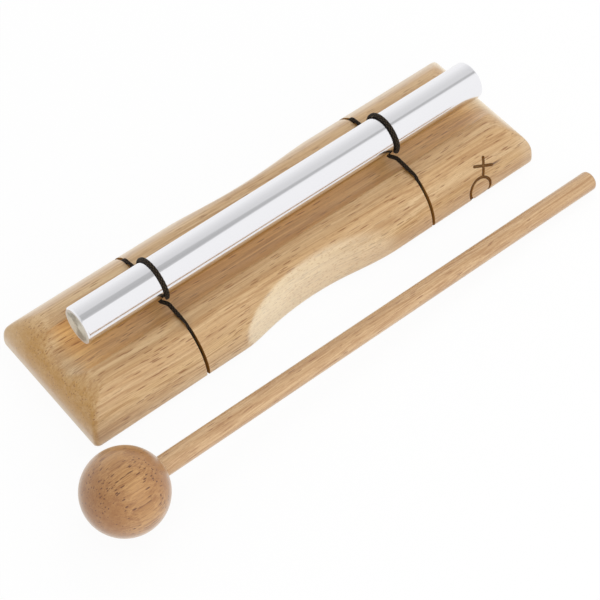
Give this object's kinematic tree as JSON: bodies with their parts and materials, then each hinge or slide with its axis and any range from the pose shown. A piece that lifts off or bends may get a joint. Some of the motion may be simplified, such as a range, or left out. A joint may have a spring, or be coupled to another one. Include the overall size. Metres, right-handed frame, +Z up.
{
  "type": "chime bar",
  "caption": "Round aluminium chime bar hung on elastic cords over a grooved wooden block with finger scallops, with a wooden ball mallet.",
  "frame": {"origin": "middle of the block's flat underside, on the surface it stands on", "axes": "+X along the bar, away from the mallet's ball; +Y across the block, away from the mallet; +Z up"},
  "size_m": [0.2515, 0.1082, 0.0403],
  "materials": {
    "block_wood": "satin lacquer",
    "bar_metal": "polished",
    "cord_elastic": "braided",
    "ball_wood": "satin lacquer",
    "stick_wood": "satin"
  },
  "bodies": {
    "base": {"wooden_block": "block_wood"},
    "suspension": {"left_cord": "cord_elastic", "right_cord": "cord_elastic"},
    "bar": {"chime_rod": "bar_metal"},
    "mallet": {"mallet_ball": "ball_wood", "mallet_stick": "stick_wood"}
  },
  "joints": [
    {"name": "bar_bounce", "type": "slide", "parent": "base", "child": "suspension", "axis": [0, 0, 1], "range_m": [-0.002, 0.002], "stiffness_N_per_m": 3000, "springref_m": 0.00036, "deforming": ["left_cord", "right_cord"]},
    {"name": "bar_turn", "type": "hinge", "parent": "suspension", "child": "bar", "pos_m": [0, 0, 0.03007], "axis": [1, 0, 0], "continuous": true},
    {"name": "mallet_lift", "type": "slide", "parent": "base", "child": "mallet", "axis": [0, 0, 1], "range_m": [0, 0.12]}
  ]
}
